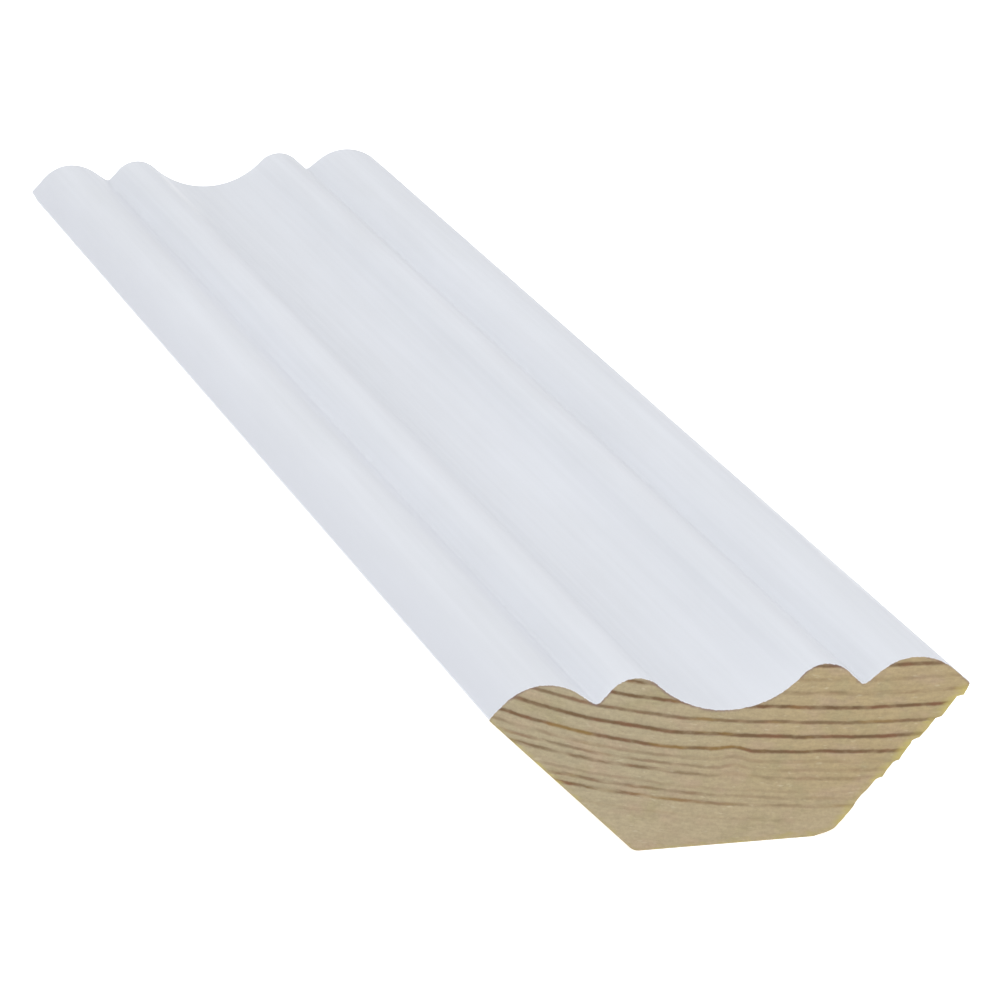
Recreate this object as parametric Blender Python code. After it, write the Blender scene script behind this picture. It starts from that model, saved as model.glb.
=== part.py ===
"""Crown moulding length: one piece of planed softwood, painted white on its moulded face.

It lies on its flat back, face up. X runs across the face, Y along the length and Z up from the back.
The face mirrors about X = 0: from each edge inwards it has a wide bead, a V-shaped quirk and a small bead,
with one wide cove between the two small beads. Under each edge a bevel runs down to the flat back.
"""

import math

import bmesh
import bpy

# The planed board, in metres. The thickness is at the tops of the beads.
length = 0.305
face_width = 0.0572
thickness = 0.0206

# Drops and depths run down from the tops of the beads, and the inset runs in from the edge of the face.
edge_drop = 0.0036
quirk_inset = 0.0128
quirk_depth = 0.0029
small_bead_radius = 0.004
cove_depth = 0.0046

# Slopes from the level. A straight flank rises from the edge, and one from each side of the quirk.
edge_slope = math.radians(42.7)
quirk_outer_slope = math.radians(36.4)
quirk_inner_slope = math.radians(45.4)
bevel_slope = math.radians(45)

# Facets on each half of a bead, and on each half of the cove.
half_wide_bead_steps = 8
half_small_bead_steps = 7
half_cove_steps = 14

paint_color = (0.73, 0.76, 0.79, 1.0)
paint_roughness = 0.42
crease_angle = math.radians(20)
weld_distance = 1e-6


def arc(centre, radius, first, last, steps):
    """Points from one angle to the other, both ends included."""
    angles = [first + (last - first) * i / steps for i in range(steps + 1)]
    return [(centre[0] + radius * math.cos(a), centre[1] + radius * math.sin(a)) for a in angles]


def bead(centre, radius, first, last, half_steps):
    """An arc that passes through the very top of its circle."""
    top = math.pi / 2
    return [*arc(centre, radius, first, top, half_steps), *arc(centre, radius, top, last, half_steps)[1:]]


def half_face():
    """The face from its edge at +X to the bottom of the cove at X = 0."""
    edge = (face_width / 2, thickness - edge_drop)
    quirk = (face_width / 2 - quirk_inset, thickness - quirk_depth)

    # The wide bead's circle touches the level of the tops and both flanks, so its radius follows from
    # where the flanks, carried on, would reach that level.
    outer_corner = edge[0] - edge_drop / math.tan(edge_slope)
    inner_corner = quirk[0] + quirk_depth / math.tan(quirk_outer_slope)
    wide_radius = (outer_corner - inner_corner) / (math.tan(edge_slope / 2) + math.tan(quirk_outer_slope / 2))
    wide_centre = (outer_corner - wide_radius * math.tan(edge_slope / 2), thickness - wide_radius)
    wide_bead = bead(
        wide_centre,
        wide_radius,
        math.pi / 2 - edge_slope,
        math.pi / 2 + quirk_outer_slope,
        half_wide_bead_steps,
    )

    # The small bead's circle touches that level and the quirk's inner flank.
    small_corner = quirk[0] - quirk_depth / math.tan(quirk_inner_slope)
    small_x = small_corner - small_bead_radius * math.tan(quirk_inner_slope / 2)
    small_centre = (small_x, thickness - small_bead_radius)

    # The cove's circle is centred over X = 0 and touches the small bead's circle from outside. The two
    # radii together follow from how far the bead's top is from the cove's bottom, across and up.
    cove_radius = (small_x**2 + cove_depth**2) / (2 * cove_depth) - small_bead_radius
    cove_centre = (0.0, thickness - cove_depth + cove_radius)
    towards_cove = math.atan2(cove_centre[1] - small_centre[1], cove_centre[0] - small_centre[0])
    small_bead = bead(
        small_centre,
        small_bead_radius,
        math.pi / 2 - quirk_inner_slope,
        towards_cove,
        half_small_bead_steps,
    )
    half_cove = arc(cove_centre, cove_radius, towards_cove - math.pi, -math.pi / 2, half_cove_steps)
    return [edge, *wide_bead, quirk, *small_bead, *half_cove[1:]]


def section():
    """The whole outline: the face from +X to -X, the left bevel, the flat back and the right bevel."""
    right_face = half_face()
    left_face = [(-x, z) for x, z in reversed(right_face[:-1])]
    back_corner = face_width / 2 - (thickness - edge_drop) / math.tan(bevel_slope)
    return [*right_face, *left_face, (-back_corner, 0.0), (back_corner, 0.0)]


def painted_wood():
    material = bpy.data.materials.new("painted_wood")
    material.use_nodes = True
    shader = material.node_tree.nodes["Principled BSDF"]
    shader.inputs["Base Color"].default_value = paint_color
    shader.inputs["Roughness"].default_value = paint_roughness
    shader.inputs["Metallic"].default_value = 0.0
    return material


def filled_outline(name, outline):
    """A flat outline in XZ as a filled curve, run out half the length each way along Y."""
    curve = bpy.data.curves.new(name, "CURVE")
    curve.dimensions = "2D"
    curve.fill_mode = "BOTH"
    curve.extrude = length / 2
    spline = curve.splines.new("POLY")
    spline.points.add(len(outline) - 1)
    for point, (x, z) in zip(spline.points, outline):
        point.co = (x, z, 0.0, 1.0)
    spline.use_cyclic_u = True
    piece = bpy.data.objects.new(name, curve)
    piece.rotation_euler = (math.pi / 2, 0.0, 0.0)
    return piece


def made_mesh(curve_object, name, material, collection):
    """The curve as one closed mesh, its caps welded on, smooth along the curves and creased at the arrises."""
    collection.objects.link(curve_object)
    bpy.context.view_layer.update()
    graph = bpy.context.evaluated_depsgraph_get()
    mesh = bpy.data.meshes.new_from_object(curve_object.evaluated_get(graph))
    piece = bpy.data.objects.new(name, mesh)
    piece.matrix_world = curve_object.matrix_world
    collection.objects.link(piece)
    bpy.data.objects.remove(curve_object, do_unlink=True)

    shape = bmesh.new()
    shape.from_mesh(mesh)
    bmesh.ops.remove_doubles(shape, verts=shape.verts, dist=weld_distance)
    bmesh.ops.recalc_face_normals(shape, faces=shape.faces)
    shape.to_mesh(mesh)
    shape.free()

    mesh.shade_smooth()
    mesh.set_sharp_from_angle(angle=crease_angle)
    mesh.materials.clear()
    mesh.materials.append(material)
    return piece


for old in list(bpy.data.objects):
    bpy.data.objects.remove(old, do_unlink=True)

collection = bpy.data.collections.new("crown_moulding_length")
bpy.context.scene.collection.children.link(collection)
profile = filled_outline("section", section())
made_mesh(profile, "crown_moulding", painted_wood(), collection)
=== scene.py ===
import math

import bmesh
import bpy
import numpy as np
from mathutils import Matrix, Quaternion, Vector, noise


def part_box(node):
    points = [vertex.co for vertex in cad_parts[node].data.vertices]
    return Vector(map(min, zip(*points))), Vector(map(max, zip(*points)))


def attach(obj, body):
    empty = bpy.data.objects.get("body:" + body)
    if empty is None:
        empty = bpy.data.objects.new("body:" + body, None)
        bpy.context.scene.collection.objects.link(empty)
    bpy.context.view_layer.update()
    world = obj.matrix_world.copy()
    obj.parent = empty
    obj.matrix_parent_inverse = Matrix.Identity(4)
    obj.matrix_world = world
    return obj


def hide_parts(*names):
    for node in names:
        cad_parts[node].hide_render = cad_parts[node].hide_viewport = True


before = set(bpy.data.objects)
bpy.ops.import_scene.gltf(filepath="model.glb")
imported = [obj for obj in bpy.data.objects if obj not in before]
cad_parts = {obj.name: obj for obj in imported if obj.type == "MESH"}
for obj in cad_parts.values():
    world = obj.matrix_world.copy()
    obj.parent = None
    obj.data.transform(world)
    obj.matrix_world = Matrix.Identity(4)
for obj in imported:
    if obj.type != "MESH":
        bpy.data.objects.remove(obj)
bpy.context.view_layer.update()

# A length of softwood crown moulding: factory paint on the moulded face, bare planed bevels and back,
# and sawn ends that show the growth rings. X runs across the face, Y along the length, away from the
# camera, and Z up from the flat back. Shapes are in metres, angles in degrees, and patterns in mm.

lowCorner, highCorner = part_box("crown_moulding")
nearEnd, farEnd = lowCorner.y, highCorner.y
halfWidth = (highCorner.x - lowCorner.x) / 2
thickness = highCorner.z - lowCorner.z
mm = 0.001
sameSpot = 0.01 * mm  # places that are closer than this count as one
paintSlot, sawnSlot, planedSlot = 0, 1, 2

moulding = {
    # drops and depths run down from the bead tops, and the inset runs in from the edge
    "edgeDrop": 0.0036,
    "edgeSlope": 42.7,
    "quirkInset": 0.0128,
    "quirkDepth": 0.0029,
    "quirkOuterSlope": 36.4,
    "quirkInnerSlope": 45.4,
    "smallBeadRadius": 0.004,
    "coveDepth": 0.0046,
    "bevelSlope": 45.0,
    # arrises eased by sanding, and filled a little by the paint
    "easedEdge": 0.00035,
    "easedQuirk": 0.00050,
    "easedBackCorner": 0.00060,
    "easeSteps": 3,
    # how finely the round stretches, the flats and the sawn ends are divided
    "wideBeadSteps": 32,
    "smallBeadSteps": 26,
    "halfCoveSteps": 28,
    "bevelCuts": 95,
    "backCuts": 40,
    "sawnGrid": 0.00027,
    "sawnMerge": 0.00003,
    "firstStation": 0.00015,
    "stationGrowth": 1.35,
    "longestStation": 0.008,
    # how far the saw tore the soft wood down between the rings, and where the paint's rim ends
    "sawnRelief": 0.00006,
    "napSize": 0.0004,
    "rim": 0.00025,
    "smoothAngle": 30.0,
}


# Drawing the section

def pick(kind, test):
    # selects the "verts", "edges" or "faces" that pass the test, and nothing else
    bpy.ops.mesh.select_mode(type={"verts": "VERT", "edges": "EDGE", "faces": "FACE"}[kind])
    bpy.ops.mesh.select_all(action="DESELECT")
    shape = bmesh.from_edit_mesh(bpy.context.object.data)
    for element in getattr(shape, kind):
        if test(element):
            element.select_set(True)
    shape.select_flush_mode()
    bmesh.update_edit_mesh(bpy.context.object.data)


def bevelX(z):
    # where the right bevel stands at a height
    slope = math.tan(math.radians(moulding["bevelSlope"]))
    return halfWidth - (thickness - moulding["edgeDrop"] - z) / slope


def onCircle(centre, radius, angle):
    return Vector((centre.x + radius * math.cos(angle), nearEnd, centre.z + radius * math.sin(angle)))


def lineTo(pen, point):
    bpy.ops.mesh.extrude_vertices_move(TRANSFORM_OT_translate={"value": point - pen})
    return point


def arcTo(pen, centre, turn, steps):
    # a positive turn runs from the right over the top to the left
    bpy.ops.mesh.spin(steps=steps, angle=turn, center=centre, axis=(0, 1, 0))
    return centre + Matrix.Rotation(-turn, 3, "Y") @ (pen - centre)


def drawHalfSection():
    # from the middle of the back, out and up the bevel, then over the beads to the bottom of the cove
    size = moulding
    edgeSlope = math.radians(size["edgeSlope"])
    outerSlope = math.radians(size["quirkOuterSlope"])
    innerSlope = math.radians(size["quirkInnerSlope"])
    edge = Vector((halfWidth, nearEnd, thickness - size["edgeDrop"]))
    quirk = Vector((halfWidth - size["quirkInset"], nearEnd, thickness - size["quirkDepth"]))
    backCorner = Vector((bevelX(0), nearEnd, 0))

    # the wide bead touches the level of the tops and both flanks
    outerCorner = edge.x - size["edgeDrop"] / math.tan(edgeSlope)
    innerCorner = quirk.x + size["quirkDepth"] / math.tan(outerSlope)
    wideRadius = (outerCorner - innerCorner) / (math.tan(edgeSlope / 2) + math.tan(outerSlope / 2))
    wideX = outerCorner - wideRadius * math.tan(edgeSlope / 2)
    wideCentre = Vector((wideX, nearEnd, thickness - wideRadius))

    # the small bead touches that level and the quirk's inner flank
    smallRadius = size["smallBeadRadius"]
    smallX = quirk.x - size["quirkDepth"] / math.tan(innerSlope) - smallRadius * math.tan(innerSlope / 2)
    smallCentre = Vector((smallX, nearEnd, thickness - smallRadius))

    # the cove is centred over the middle and touches the small bead from outside
    coveDepth = size["coveDepth"]
    coveRadius = (smallX**2 + coveDepth**2) / (2 * coveDepth) - smallRadius
    coveCentre = Vector((0, nearEnd, thickness - coveDepth + coveRadius))
    towardsCove = math.atan2(coveCentre.z - smallCentre.z, coveCentre.x - smallCentre.x)

    pen = Vector((0, nearEnd, 0))
    for point in (backCorner, edge, onCircle(wideCentre, wideRadius, math.pi / 2 - edgeSlope)):
        pen = lineTo(pen, point)
    pen = arcTo(pen, wideCentre, edgeSlope + outerSlope, size["wideBeadSteps"])
    for point in (quirk, onCircle(smallCentre, smallRadius, math.pi / 2 - innerSlope)):
        pen = lineTo(pen, point)
    pen = arcTo(pen, smallCentre, towardsCove - math.pi / 2 + innerSlope, size["smallBeadSteps"])
    pen = arcTo(pen, coveCentre, math.pi / 2 - towardsCove, size["halfCoveSteps"])


def drawSection():
    bpy.ops.object.select_all(action="DESELECT")
    bpy.ops.mesh.primitive_plane_add(size=mm, location=(0, nearEnd, 0))
    section = bpy.context.object
    section.name = section.data.name = "painted_moulding"
    bpy.ops.object.transform_apply(location=True, rotation=True, scale=True)
    bpy.ops.object.mode_set(mode="EDIT")
    bpy.ops.mesh.select_mode(type="VERT")
    bpy.ops.mesh.select_all(action="SELECT")
    bpy.ops.mesh.merge(type="CENTER")
    drawHalfSection()
    bpy.ops.object.mode_set(mode="OBJECT")

    bpy.ops.object.modifier_add(type="MIRROR")
    section.modifiers["Mirror"].merge_threshold = sameSpot
    bpy.ops.object.modifier_apply(modifier="Mirror")

    bpy.ops.object.mode_set(mode="EDIT")
    bpy.ops.mesh.select_all(action="SELECT")
    bpy.ops.mesh.edge_face_add()
    return section


def easeCorners():
    edgeZ = thickness - moulding["edgeDrop"]
    quirkX = halfWidth - moulding["quirkInset"]
    for x, z, ease in (
        (halfWidth, edgeZ, moulding["easedEdge"]),
        (quirkX, thickness - moulding["quirkDepth"], moulding["easedQuirk"]),
        (bevelX(0), 0, moulding["easedBackCorner"]),
    ):
        pick("verts", lambda v: math.hypot(abs(v.co.x) - x, v.co.z - z) < sameSpot)
        bpy.ops.mesh.bevel(affect="VERTICES", offset=ease, segments=moulding["easeSteps"])


def divideFlats():
    # one flat at a time, because cuts in two edges of one face are joined up across it
    longEdge = 5 * mm
    for side in (-1, 1):
        for isBevel, cuts in ((True, moulding["bevelCuts"]), (False, moulding["backCuts"])):
            pick(
                "edges",
                lambda e: e.calc_length() > longEdge
                and side * sum(v.co.x for v in e.verts) > 0
                and (max(v.co.z for v in e.verts) > longEdge) == isBevel,
            )
            bpy.ops.mesh.subdivide(number_cuts=cuts)


# Running the section out to its length

def stationGaps():
    # close together near the end, and the same again in reverse towards the far end
    gaps = []
    gap = moulding["firstStation"]
    left = (farEnd - nearEnd) / 2
    while left > gap:
        gaps.append(gap)
        left -= gap
        gap = min(gap * moulding["stationGrowth"], moulding["longestStation"])
    gaps.append(left)
    return gaps + gaps[::-1]


def runOut():
    pick("faces", lambda f: True)
    for gap in stationGaps():
        bpy.ops.mesh.extrude_region_move(TRANSFORM_OT_translate={"value": (0, gap, 0)})
    bpy.ops.mesh.select_all(action="SELECT")
    bpy.ops.mesh.normals_make_consistent(inside=False)


def sortFinishes(piece, finishes):
    # the moulded face looks up, the bevels and the back look down, and the sawn ends look along Y
    for finish in finishes:
        piece.data.materials.append(finish)
    for slot, test in (
        (paintSlot, lambda f: abs(f.normal.y) < 0.5 and f.normal.z > 0),
        (planedSlot, lambda f: abs(f.normal.y) < 0.5 and f.normal.z <= 0),
        (sawnSlot, lambda f: abs(f.normal.y) > 0.5),
    ):
        pick("faces", test)
        piece.active_material_index = slot
        bpy.ops.object.material_slot_assign()


def gridSawnEnds(piece):
    # cuts both sawn ends into small squares, so that they can carry relief
    bpy.ops.mesh.select_mode(type="FACE")
    piece.active_material_index = sawnSlot
    pitch = moulding["sawnGrid"]
    for normal, first, last in (((1, 0, 0), -halfWidth, halfWidth), ((0, 0, 1), 0, thickness)):
        for cut in range(1, int((last - first) / pitch)):
            place = first + cut * pitch
            bpy.ops.mesh.select_all(action="DESELECT")
            bpy.ops.object.material_slot_select()
            point = [place * n for n in normal]
            bpy.ops.mesh.bisect(plane_co=point, plane_no=normal, threshold=0.001 * mm)
    bpy.ops.mesh.select_all(action="SELECT")
    bpy.ops.mesh.remove_doubles(threshold=moulding["sawnMerge"])


def markDistance(piece, name, slot):
    # how far each point of the sawn ends lies, in mm, from the stretch of the outline with one finish
    shape = bmesh.new()
    shape.from_mesh(piece.data)
    outline = [
        [(v.co.x, v.co.z) for v in e.verts]
        for e in shape.edges
        if e.verts[0].co.y < nearEnd + sameSpot
        and {f.material_index for f in e.link_faces} == {slot, sawnSlot}
    ]
    shape.free()
    points = np.empty(len(piece.data.vertices) * 3)
    piece.data.vertices.foreach_get("co", points)
    points = points.reshape(-1, 3)[:, [0, 2]]
    nearest = np.full(len(points), np.inf)
    for start, end in np.array(outline):
        run = end - start
        share = np.clip((points - start) @ run / (run @ run), 0, 1)
        nearest = np.minimum(nearest, np.linalg.norm(points - start - share[:, None] * run, axis=1))
    nearest /= mm
    marks = piece.data.attributes.new(name, "FLOAT", "POINT")
    marks.data.foreach_set("value", nearest)
    return nearest


# Wear and saw marks

tornEdge = {
    # wood torn out of the right bevel where the saw broke through, from the top down: the height of
    # each ledge, how deep the wood is gone just under it and at the foot of that break, and how far the
    # break runs back along the grain; less than 0 is a sliver that stands proud
    "ledges": (
        (0.0172, 0.00000, -0.00070, 0.0040),
        (0.0155, 0.00005, -0.00042, 0.0040),
        (0.0131, 0.00020, -0.00012, 0.0050),
        (0.0108, 0.00058, -0.00008, 0.0070),
        (0.0083, 0.00040, 0.00005, 0.0090),
        (0.0064, 0.00060, 0.00042, 0.0080),
        (0.0037, 0.00045, 0.00005, 0.0060),
        (0.0024, 0.00008, 0.00000, 0.0060),
    ),
    "ragged": 0.00013,
    "raggedPerMetre": 900.0,
    # how far in from the bevel the surface gives way, and the depth that counts as 1
    "spread": 0.0032,
    "deepest": 0.001,
}

wornCorner = {
    # the lower right corner of the near end is rubbed off, along a shallow slope
    "width": 0.0018,
    "height": 0.0005,
    "fade": 0.0020,
    "reach": 0.012,
}

bluntTip = {
    # the left edge is blunted where it meets the far end
    "reach": 0.0090,
    "inwards": 0.0003,
    "shortened": 0.0018,
}


def addGroup(piece, name, weight):
    group = piece.vertex_groups.new(name=name)
    for vertex in piece.data.vertices:
        amount = weight(vertex)
        if amount > 0:
            group.add([vertex.index], min(amount, 1), "REPLACE")
    return name


def push(piece, group, direction, strength, texture=None):
    modifier = piece.modifiers.new("push", "DISPLACE")
    modifier.vertex_group = group
    modifier.direction = direction
    modifier.strength = strength
    modifier.mid_level = 0
    modifier.texture = texture
    modifier.texture_coords = "LOCAL"
    bpy.ops.object.modifier_apply(modifier=modifier.name)


def smoothStep(share):
    share = min(max(share, 0), 1)
    return share * share * (3 - 2 * share)


def tornDepth(vertex):
    # how far the wood is gone sideways, in shares of the deepest break: less than 0 where it stands proud
    co = vertex.co
    inwards = bevelX(co.z) - co.x
    if inwards > tornEdge["spread"]:
        return 0
    ledges = tornEdge["ledges"]
    feet = [ledge[0] for ledge in ledges[1:]] + [-mm]
    for (top, topDepth, footDepth, reach), foot in zip(ledges, feet):
        if foot <= co.z < top:
            depth = footDepth + (topDepth - footDepth) * (co.z - foot) / (top - foot)
            depth += tornEdge["ragged"] * noise.noise(co * tornEdge["raggedPerMetre"])
            depth *= smoothStep(1 - (co.y - nearEnd) / reach)
            return depth * smoothStep(1 - inwards / tornEdge["spread"]) / tornEdge["deepest"]
    return 0


def wornShare(vertex):
    # where a point lies across the rubbed corner: 0 at its inner end and 1 on the bevel
    inner = bevelX(0) - wornCorner["width"]
    return (vertex.co.x - inner) / (bevelX(vertex.co.z) - inner)


def wornRise(vertex):
    fade = max(1 - vertex.co.z / wornCorner["fade"], 0)
    back = smoothStep(1 - (vertex.co.y - nearEnd) / wornCorner["reach"])
    return wornCorner["height"] / mm * max(wornShare(vertex), 0) * fade * back


def bluntShare(vertex):
    tip = Vector((-halfWidth, farEnd, thickness - moulding["edgeDrop"]))
    return smoothStep(1 - (vertex.co - tip).length / bluntTip["reach"])


def wearAndSaw(piece, fromFace):
    blunt = addGroup(piece, "blunt", bluntShare)
    push(piece, blunt, "X", bluntTip["inwards"])
    push(piece, blunt, "Y", -bluntTip["shortened"])

    # the rubbed corner moves up, and slides out along the bevel as it does
    rubbedUp = addGroup(piece, "rubbedUp", wornRise)
    rubbedOut = addGroup(piece, "rubbedOut", lambda v: wornRise(v) * wornShare(v) ** 2)
    torn = addGroup(piece, "torn", tornDepth)
    proud = addGroup(piece, "proud", lambda v: -tornDepth(v))
    push(piece, rubbedUp, "Z", mm)
    push(piece, rubbedOut, "X", mm)
    push(piece, torn, "X", -tornEdge["deepest"])
    push(piece, proud, "X", tornEdge["deepest"])

    nap = bpy.data.textures.new("sawnNap", "CLOUDS")
    nap.noise_scale = moulding["napSize"]
    rim = moulding["rim"] / mm
    for end, name, side in ((nearEnd, "nearNap", 1), (farEnd, "farNap", -1)):
        group = addGroup(
            piece,
            name,
            lambda v: smoothStep(fromFace[v.index] / rim) if abs(v.co.y - end) < sameSpot else 0,
        )
        push(piece, group, "Y", side * moulding["sawnRelief"], nap)


# Node helpers: an input is a plain value or another node's output

def addNode(tree, kind, inputs, **settings):
    made = tree.nodes.new(kind)
    for name, value in settings.items():
        setattr(made, name, value)
    for name, value in inputs.items():
        if isinstance(value, bpy.types.NodeSocket):
            tree.links.new(value, made.inputs[name])
        else:
            made.inputs[name].default_value = value
    return made


def calc(tree, operation, first, second=0.0):
    return addNode(tree, "ShaderNodeMath", {0: first, 1: second}, operation=operation).outputs[0]


def ramp(tree, value, low, high, atLow=0.0, atHigh=1.0):
    inputs = {"Value": value, "From Min": low, "From Max": high, "To Min": atLow, "To Max": atHigh}
    return addNode(tree, "ShaderNodeMapRange", inputs, interpolation_type="SMOOTHSTEP").outputs[0]


def blend(tree, amount, first, second, mode="MIX"):
    colors = [c if isinstance(c, bpy.types.NodeSocket) else (*c, 1.0) for c in (first, second)]
    inputs = {0: amount, 6: colors[0], 7: colors[1]}
    return addNode(tree, "ShaderNodeMix", inputs, data_type="RGBA", blend_type=mode).outputs[2]


def grey(tree, value):
    return addNode(tree, "ShaderNodeCombineColor", {0: value, 1: value, 2: value}).outputs[0]


def speckle(tree, place, stretch, detail=2.0, roughness=0.5):
    # noise whose cells per mm are given for each axis
    scaled = addNode(tree, "ShaderNodeVectorMath", {0: place, 1: stretch}, operation="MULTIPLY")
    inputs = {"Vector": scaled.outputs[0], "Scale": 1.0, "Detail": detail, "Roughness": roughness}
    return addNode(tree, "ShaderNodeTexNoise", inputs).outputs[0]


def placeInMm(tree):
    source = addNode(tree, "ShaderNodeTexCoord", {})
    inputs = {0: source.outputs["Object"], "Scale": 1 / mm}
    return addNode(tree, "ShaderNodeVectorMath", inputs, operation="SCALE").outputs[0]


def newFinish(name):
    finish = bpy.data.materials.new(name)
    finish.use_nodes = True
    return finish, finish.node_tree, finish.node_tree.nodes["Principled BSDF"]


def mottle(tree, color, pattern, low, high):
    # darkens and lightens a colour from low to high times its brightness
    return blend(tree, 1.0, color, grey(tree, ramp(tree, pattern, 0.3, 0.7, low, high)), "MULTIPLY")


def setRelief(tree, shader, depth, *layers):
    # each layer is a height and its share
    total = 0.0
    for height, share in layers:
        total = calc(tree, "ADD", calc(tree, "MULTIPLY", height, share), total)
    bump = addNode(tree, "ShaderNodeBump", {"Height": total, "Distance": depth, "Strength": 1.0})
    tree.links.new(bump.outputs[0], shader.inputs["Normal"])


# The growth rings run through the whole piece, so every bare surface shows the same ones

growth = {
    # the pith stood above the face, so the rings sag across the sawn end
    "pith": (20.3, 146.2),
    # a slow sway across the end, which dies out between two radii
    "sway": 0.22,
    "swayCrest": -12.0,
    "swayLength": 42.0,
    "swayFades": (137.0, 140.0),
    # a small kink near the middle, and the radii over which it comes and goes
    "kink": 0.38,
    "kinkPlace": 0.3,
    "kinkWidth": 1.5,
    "kinkComes": (135.2, 136.2),
    "kinkGoes": (139.4, 141.0),
    # how far the rings wander along the piece, and tremble from fibre to fibre
    "wander": 0.5,
    "tremble": 0.24,
    # what is left of a bold and of a faint line where it breaks up
    "boldLeast": 0.65,
    "faintLeast": 0.25,
    # faint lines fade towards the right, between two places across the face, to this share
    "faintFades": (-13.0, 5.0),
    "faintShare": 0.5,
    # how dark the wood gets just before each line, and how far in front of the line that starts
    "shade": 0.12,
    "shadeReach": 0.7,
    # radius, width and darkness of each band of latewood
    "boldLines": (
        (126.48, 0.52, 0.95),
        (131.36, 0.50, 1.00),
        (133.18, 0.48, 0.82),
        (134.88, 0.52, 1.00),
        (136.66, 0.48, 0.98),
    ),
    "faintLines": (
        (128.10, 0.46, 0.60),
        (129.68, 0.50, 1.00),
        (137.82, 0.46, 0.50),
        (138.80, 0.44, 0.60),
        (139.70, 0.50, 0.82),
        (141.30, 0.40, 0.30),
        (142.05, 0.46, 0.72),
        (143.00, 0.46, 0.95),
        (144.70, 0.38, 0.22),
    ),
}


def ringRadius(tree, place):
    across = addNode(tree, "ShaderNodeSeparateXYZ", {0: place}).outputs["X"]
    flat = addNode(tree, "ShaderNodeVectorMath", {0: place, 1: (1, 0, 1)}, operation="MULTIPLY")
    pith = (growth["pith"][0], 0, growth["pith"][1])
    arm = addNode(tree, "ShaderNodeVectorMath", {0: flat.outputs[0], 1: pith}, operation="SUBTRACT")
    length = addNode(tree, "ShaderNodeVectorMath", {0: arm.outputs[0]}, operation="LENGTH")
    radius = length.outputs["Value"]

    fromCrest = calc(tree, "SUBTRACT", across, growth["swayCrest"])
    turn = calc(tree, "MULTIPLY", fromCrest, math.tau / growth["swayLength"])
    swayHere = ramp(tree, radius, *growth["swayFades"], growth["sway"], 0)
    sway = calc(tree, "MULTIPLY", calc(tree, "COSINE", turn), swayHere)

    aside = calc(tree, "DIVIDE", calc(tree, "SUBTRACT", across, growth["kinkPlace"]), growth["kinkWidth"])
    bell = calc(tree, "EXPONENT", calc(tree, "MULTIPLY", calc(tree, "MULTIPLY", aside, aside), -1))
    comes = ramp(tree, radius, *growth["kinkComes"])
    goes = ramp(tree, radius, *growth["kinkGoes"], 1, 0)
    kinkHere = calc(tree, "MULTIPLY", calc(tree, "MULTIPLY", comes, goes), growth["kink"])
    kink = calc(tree, "MULTIPLY", bell, kinkHere)

    radius = calc(tree, "SUBTRACT", calc(tree, "ADD", radius, kink), sway)
    for share, noiseHere in (
        (growth["wander"], speckle(tree, place, (0.16, 0.008, 0.16))),
        (growth["tremble"], speckle(tree, place, (1.1, 0.02, 1.1), 4, 0.6)),
    ):
        bend = calc(tree, "MULTIPLY", calc(tree, "SUBTRACT", noiseHere, 0.5), share)
        radius = calc(tree, "ADD", radius, bend)
    return radius


def ringLines(tree, radius, lines):
    # the wood shades off slowly on the pith's side of each line, and starts pale again on the other
    total = 0.0
    for middle, width, darkness in lines:
        offset = calc(tree, "SUBTRACT", radius, middle)
        shade = ramp(tree, offset, -growth["shadeReach"], -width * 0.3, 0, darkness * growth["shade"])
        core = ramp(tree, offset, -width * 0.72, -width * 0.13, 0, darkness)
        outer = ramp(tree, offset, width * 0.13, width * 0.76, darkness, 0)
        line = calc(tree, "MINIMUM", calc(tree, "MAXIMUM", shade, core), outer)
        total = calc(tree, "MAXIMUM", line, total)
    return total


def alongRings(tree, place, radius):
    # the place with its height swapped for the ring's radius, so that marks follow the rings
    parts = addNode(tree, "ShaderNodeSeparateXYZ", {0: place})
    inputs = {"X": parts.outputs["X"], "Y": parts.outputs["Y"], "Z": radius}
    return addNode(tree, "ShaderNodeCombineXYZ", inputs).outputs[0]


def latewood(tree, place, radius):
    # bold lines hold nearly all the way across, and faint ones break up and fade towards the right
    ringPlace = alongRings(tree, place, radius)
    boldNoise = speckle(tree, ringPlace, (0.45, 0.02, 0.9), 4)
    faintNoise = speckle(tree, ringPlace, (0.26, 0.02, 1.1), 5)
    boldBreaks = ramp(tree, boldNoise, 0.3, 0.55, growth["boldLeast"], 1)
    faintBreaks = ramp(tree, faintNoise, 0.34, 0.6, growth["faintLeast"], 1)
    across = addNode(tree, "ShaderNodeSeparateXYZ", {0: place}).outputs["X"]
    fade = ramp(tree, across, *growth["faintFades"], 1, growth["faintShare"])
    bold = calc(tree, "MULTIPLY", ringLines(tree, radius, growth["boldLines"]), boldBreaks)
    faint = calc(tree, "MULTIPLY", ringLines(tree, radius, growth["faintLines"]), faintBreaks)
    return calc(tree, "MAXIMUM", bold, calc(tree, "MULTIPLY", faint, fade))


# The paint on the moulded face

facePaint = {
    "color": (0.664, 0.686, 0.734),
    "shade": (0.651, 0.673, 0.718),
    # painted shade: the colour the coat darkens to at both edges, standing in for the shade on the outer
    # flanks
    "paintedEdgeShade": (0.566, 0.586, 0.636),
    "paintedEdgeShadeFrom": 22.5,  # how far from the middle the painted edge shade starts
    "streakContrast": 0.015,
    "roughness": 0.42,
    "roughnessSpread": 0.06,
    # shares of orange peel, streaks and the grain below, and the depth of the relief in metres
    "peelShare": 0.5,
    "streakShare": 0.45,
    "grainShare": 0.05,
    "relief": 0.00002,
}


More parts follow.
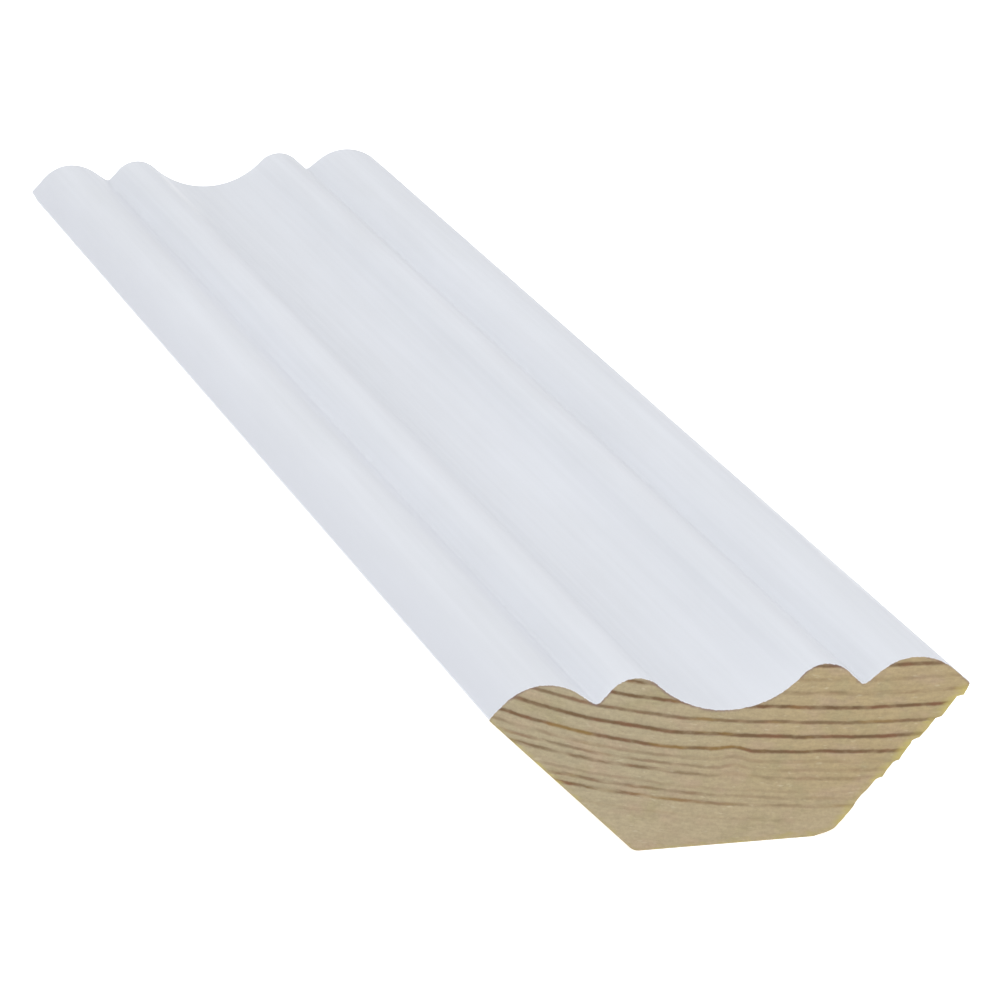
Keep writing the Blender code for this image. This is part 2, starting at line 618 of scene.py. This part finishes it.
def makeFacePaint():
    finish, tree, shader = newFinish("factoryPaint")
    place = placeInMm(tree)
    clouds = ramp(tree, speckle(tree, place, (0.05, 0.012, 0.05), 3), 0.35, 0.65)
    streaks = speckle(tree, place, (1.3, 0.012, 1.3), 3)
    color = blend(tree, clouds, facePaint["color"], facePaint["shade"])
    contrast = facePaint["streakContrast"]
    color = mottle(tree, color, streaks, 1 - contrast, 1 + contrast)
    # painted shade: the coat darkens towards both edges of the face, standing in for the shade that falls
    # on the outer flanks
    across = calc(tree, "ABSOLUTE", addNode(tree, "ShaderNodeSeparateXYZ", {0: place}).outputs["X"])
    edgeShadeShare = ramp(tree, across, facePaint["paintedEdgeShadeFrom"], halfWidth / mm)
    color = blend(tree, edgeShadeShare, color, facePaint["paintedEdgeShade"])
    tree.links.new(color, shader.inputs["Base Color"])
    spread = facePaint["roughnessSpread"]
    rough = ramp(tree, speckle(tree, place, (0.4, 0.05, 0.4), 3), 0.3, 0.7, -spread, spread)
    tree.links.new(calc(tree, "ADD", rough, facePaint["roughness"]), shader.inputs["Roughness"])

    # orange peel, and the grain showing faintly through the coat
    peel = speckle(tree, place, (1.1, 0.7, 1.1), 2)
    grain = ringLines(tree, ringRadius(tree, place), growth["boldLines"])
    setRelief(
        tree,
        shader,
        facePaint["relief"],
        (peel, facePaint["peelShare"]),
        (streaks, facePaint["streakShare"]),
        (grain, facePaint["grainShare"]),
    )
    return finish


# The sawn ends

endGrain = {
    "pale": (0.380, 0.320, 0.205),
    "warm": (0.390, 0.302, 0.165),
    "light": (0.425, 0.350, 0.227),
    "pink": (0.410, 0.302, 0.208),
    "olive": (0.330, 0.283, 0.157),
    "fleck": (0.560, 0.490, 0.345),
    "brownLine": (0.138, 0.080, 0.034),
    "redLine": (0.175, 0.078, 0.036),
    "ochreLine": (0.270, 0.165, 0.040),
    # painted shade: the dark line drawn just under the paint's cut edge
    "shadowLine": (0.200, 0.130, 0.120),
    "rawEdge": (0.485, 0.410, 0.135),
    # the wood turns from pale to warm across the end, and lighter towards the back
    "warmsOver": (-16.0, 16.0),
    "lightensOver": (0.0, 9.0),
    "lightShare": 0.8,
    # how far the yellow fibres reach in from the edge, and where the left reach gives way to the right
    "leftFringe": 0.9,
    "rightFringe": 1.4,
    "fringeWidens": (-5.0, 18.0),
    # the cut edge of the paint, how ragged it is, and how deep the painted shadow line under it reaches
    "paintThickness": 0.08,
    "paintRagged": 0.3,
    "shadowLineDepth": 0.4,
    "roughness": 0.82,
    "paintRoughness": 0.5,
    # shares of the nap, the scratches and the hard latewood, and the depth of the relief in metres
    "napShare": 1.0,
    "scratchShare": 0.4,
    "lineShare": 0.35,
    "relief": 0.00008,
}


def makeEndGrain():
    finish, tree, shader = newFinish("sawnEndGrain")
    place = placeInMm(tree)
    radius = ringRadius(tree, place)
    lines = latewood(tree, place, radius)

    parts = addNode(tree, "ShaderNodeSeparateXYZ", {0: place})
    warming = ramp(tree, parts.outputs["X"], *endGrain["warmsOver"])
    lightening = ramp(tree, parts.outputs["Z"], *endGrain["lightensOver"], endGrain["lightShare"], 0)
    color = blend(tree, warming, endGrain["pale"], endGrain["warm"])
    color = blend(tree, lightening, color, endGrain["light"])
    ringPlace = alongRings(tree, place, radius)
    pink = ramp(tree, speckle(tree, ringPlace, (0.22, 0.1, 0.45), 3), 0.48, 0.72, 0, 0.55)
    color = blend(tree, pink, color, endGrain["pink"])
    olive = ramp(tree, speckle(tree, place, (0.3, 0.1, 0.3), 4), 0.5, 0.75, 0, 0.6)
    color = blend(tree, olive, color, endGrain["olive"])
    smudges = speckle(tree, ringPlace, (0.8, 0.3, 3.4), 3, 0.55)
    color = mottle(tree, color, smudges, 0.93, 1.06)
    nap = speckle(tree, place, (3.2, 1.0, 3.2), 4, 0.65)
    color = mottle(tree, color, nap, 0.93, 1.06)
    flecks = ramp(tree, speckle(tree, ringPlace, (0.9, 1.0, 3.2), 1), 0.65, 0.82, 0, 0.45)
    color = blend(tree, flecks, color, endGrain["fleck"])

    redness = ramp(tree, speckle(tree, ringPlace, (0.3, 0.02, 0.6), 2), 0.44, 0.66)
    lineColor = blend(tree, redness, endGrain["brownLine"], endGrain["redLine"])
    ochre = ramp(tree, speckle(tree, ringPlace, (0.15, 0.3, 0.45), 2), 0.55, 0.68, 0, 0.6)
    lineColor = blend(tree, ochre, lineColor, endGrain["ochreLine"])
    color = blend(tree, lines, color, lineColor)

    # torn fibres show yellow along the bevels and the bottom, most of all on the right
    edge = addNode(tree, "ShaderNodeAttribute", {}, attribute_name="fromBack").outputs["Fac"]
    fringe = calc(tree, "ADD", edge, calc(tree, "MULTIPLY", smudges, 1.4))
    reach = (endGrain["leftFringe"], endGrain["rightFringe"])
    width = ramp(tree, parts.outputs["X"], *endGrain["fringeWidens"], *reach)
    patches = ramp(tree, speckle(tree, place, (0.28, 0.1, 0.28), 2), 0.4, 0.58, 0.3, 0.85)
    nearEdge = ramp(tree, calc(tree, "DIVIDE", fringe, width), 0.4, 1.4, 1, 0)
    color = blend(tree, calc(tree, "MULTIPLY", nearEdge, patches), color, endGrain["rawEdge"])

    # the cut edge of the paint, and a painted shadow line that runs here and there in the wood just under
    # it
    below = addNode(tree, "ShaderNodeAttribute", {}, attribute_name="fromFace").outputs["Fac"]
    unevenness = calc(tree, "MULTIPLY", calc(tree, "SUBTRACT", nap, 0.5), endGrain["paintRagged"])
    ragged = calc(tree, "ADD", below, unevenness)
    film = endGrain["paintThickness"]
    shadowLinePatches = ramp(tree, speckle(tree, place, (0.3, 0.1, 0.3), 3), 0.42, 0.62, 0.15, 0.8)
    paintedShadowLine = calc(tree, "MULTIPLY", ramp(tree, ragged, film, film + endGrain["shadowLineDepth"], 1, 0), shadowLinePatches)
    color = blend(tree, paintedShadowLine, color, endGrain["shadowLine"])
    painted = ramp(tree, ragged, film - 0.05, film + 0.05, 1, 0)
    color = blend(tree, painted, color, facePaint["color"])
    rough = ramp(tree, painted, 0, 1, endGrain["roughness"], endGrain["paintRoughness"])
    tree.links.new(color, shader.inputs["Base Color"])
    tree.links.new(rough, shader.inputs["Roughness"])

    scratches = speckle(tree, place, (0.5, 1.0, 7.0), 2)
    setRelief(
        tree,
        shader,
        endGrain["relief"],
        (nap, endGrain["napShare"]),
        (scratches, endGrain["scratchShare"]),
        (lines, endGrain["lineShare"]),
    )
    return finish


# The bevels and the back

planedWood = {
    "light": (0.470, 0.388, 0.256),
    "warm": (0.430, 0.335, 0.200),
    "line": (0.260, 0.150, 0.072),
    "lineStrength": 0.7,
    "roughness": 0.6,
    "roughnessSpread": 0.06,
    # how far the paint reaches down over the arris, and how uneven its rim is
    "paintWrap": 0.5,
    "wrapRagged": 0.8,
    "cutterPitch": 1.6,  # from one of the planer's ripples to the next
    # shares of the fibres, the ripples and the hard latewood, and the depth of the relief in metres
    "fibreShare": 1.0,
    "rippleShare": 0.06,
    "lineShare": 0.3,
    "relief": 0.00005,
}


def makePlanedWood():
    finish, tree, shader = newFinish("planedWood")
    place = placeInMm(tree)
    lines = latewood(tree, place, ringRadius(tree, place))
    fibres = speckle(tree, place, (2.6, 0.05, 2.6), 4)
    parts = addNode(tree, "ShaderNodeSeparateXYZ", {0: place})
    warming = ramp(tree, speckle(tree, place, (0.12, 0.01, 0.12), 3), 0.35, 0.65)
    color = blend(tree, warming, planedWood["light"], planedWood["warm"])
    color = mottle(tree, color, fibres, 0.88, 1.08)
    strength = calc(tree, "MULTIPLY", lines, planedWood["lineStrength"])
    color = blend(tree, strength, color, planedWood["line"])

    # the spray reached a little way round the arris
    arris = (thickness - moulding["edgeDrop"]) / mm
    wrapEnd = arris - planedWood["paintWrap"]
    spray = speckle(tree, place, (1.5, 0.5, 1.5), 3)
    unevenness = calc(tree, "MULTIPLY", spray, planedWood["wrapRagged"])
    mist = calc(tree, "ADD", parts.outputs["Z"], unevenness)
    color = blend(tree, ramp(tree, mist, wrapEnd + 0.3, wrapEnd + 0.7), color, facePaint["color"])
    tree.links.new(color, shader.inputs["Base Color"])
    middle, spread = planedWood["roughness"], planedWood["roughnessSpread"]
    rough = ramp(tree, fibres, 0.3, 0.7, middle - spread, middle + spread)
    tree.links.new(rough, shader.inputs["Roughness"])

    # faint ripples left by the planer's cutters
    turn = calc(tree, "MULTIPLY", parts.outputs["Y"], math.tau / planedWood["cutterPitch"])
    setRelief(
        tree,
        shader,
        planedWood["relief"],
        (fibres, planedWood["fibreShare"]),
        (calc(tree, "SINE", turn), planedWood["rippleShare"]),
        (lines, planedWood["lineShare"]),
    )
    return finish


# The piece

def makeMoulding():
    piece = drawSection()
    easeCorners()
    divideFlats()
    runOut()
    sortFinishes(piece, (makeFacePaint(), makeEndGrain(), makePlanedWood()))
    print("moulding: section drawn and run out")
    gridSawnEnds(piece)
    bpy.ops.object.mode_set(mode="OBJECT")
    print("moulding: sawn ends divided,", len(piece.data.polygons), "faces")
    markDistance(piece, "fromBack", planedSlot)
    wearAndSaw(piece, markDistance(piece, "fromFace", paintSlot))
    bpy.ops.object.shade_smooth_by_angle(angle=math.radians(moulding["smoothAngle"]))
    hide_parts("crown_moulding")
    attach(piece, "root")
    print("moulding: torn edge, worn corner and saw marks done")
    return piece


# Floor, light and camera

studio = {
    # the floor's glow keeps it white right up to the piece
    "floorSize": 6.0,
    "floorColor": (0.80, 0.80, 0.80),
    "floorGlow": 0.70,
    "floorRoughness": 0.7,
    "worldColor": (1.0, 1.0, 1.0),
    "worldStrength": 0.55,
    # name, place, size and power of each lamp, all aimed at the middle of the floor
    "lamps": (
        ("softbox", (-0.45, 0.1, 1.8), 2.4, 25.0),
        ("leftFill", (-1.6, -0.3, 0.9), 1.4, 5.8),
        ("rightFill", (1.6, -0.3, 0.9), 1.4, 8.8),
    ),
}

viewpoint = {
    # fitted to the outline of the moulding, with a long lens
    "position": (-0.20036, -0.87379, 0.23314),
    "aim": (-0.006895, -0.06929, 0.0206),
    "roll": -0.6078,
    "lens": 245.37,
    "sensor": 36.0,
    "farthest": 20.0,
}


def makeStudio():
    bpy.ops.object.select_all(action="DESELECT")
    bpy.ops.mesh.primitive_plane_add(size=studio["floorSize"])
    floor = bpy.context.object
    floor.name = "floor"
    finish, tree, shader = newFinish("paleFloor")
    shader.inputs["Base Color"].default_value = (*studio["floorColor"], 1)
    shader.inputs["Emission Color"].default_value = (1, 1, 1, 1)
    shader.inputs["Emission Strength"].default_value = studio["floorGlow"]
    shader.inputs["Roughness"].default_value = studio["floorRoughness"]
    floor.data.materials.append(finish)

    world = bpy.data.worlds.new("brightRoom")
    world.use_nodes = True
    background = world.node_tree.nodes["Background"]
    background.inputs["Color"].default_value = (*studio["worldColor"], 1)
    background.inputs["Strength"].default_value = studio["worldStrength"]
    bpy.context.scene.world = world

    for name, place, size, power in studio["lamps"]:
        turn = (-Vector(place)).to_track_quat("-Z", "Y").to_euler()
        bpy.ops.object.light_add(type="AREA", location=place, rotation=turn)
        lamp = bpy.context.object
        lamp.name = name
        lamp.data.size = size
        lamp.data.energy = power

    position = Vector(viewpoint["position"])
    turn = (Vector(viewpoint["aim"]) - position).to_track_quat("-Z", "Y")
    turn = turn @ Quaternion((0, 0, 1), math.radians(viewpoint["roll"]))
    bpy.ops.object.camera_add(location=position, rotation=turn.to_euler())
    camera = bpy.context.object
    camera.data.lens = viewpoint["lens"]
    camera.data.sensor_width = viewpoint["sensor"]
    camera.data.clip_end = viewpoint["farthest"]
    bpy.context.scene.camera = camera
    bpy.context.scene.view_settings.view_transform = "Standard"
    print("studio: floor, lamps and camera in place")


makeMoulding()
makeStudio()
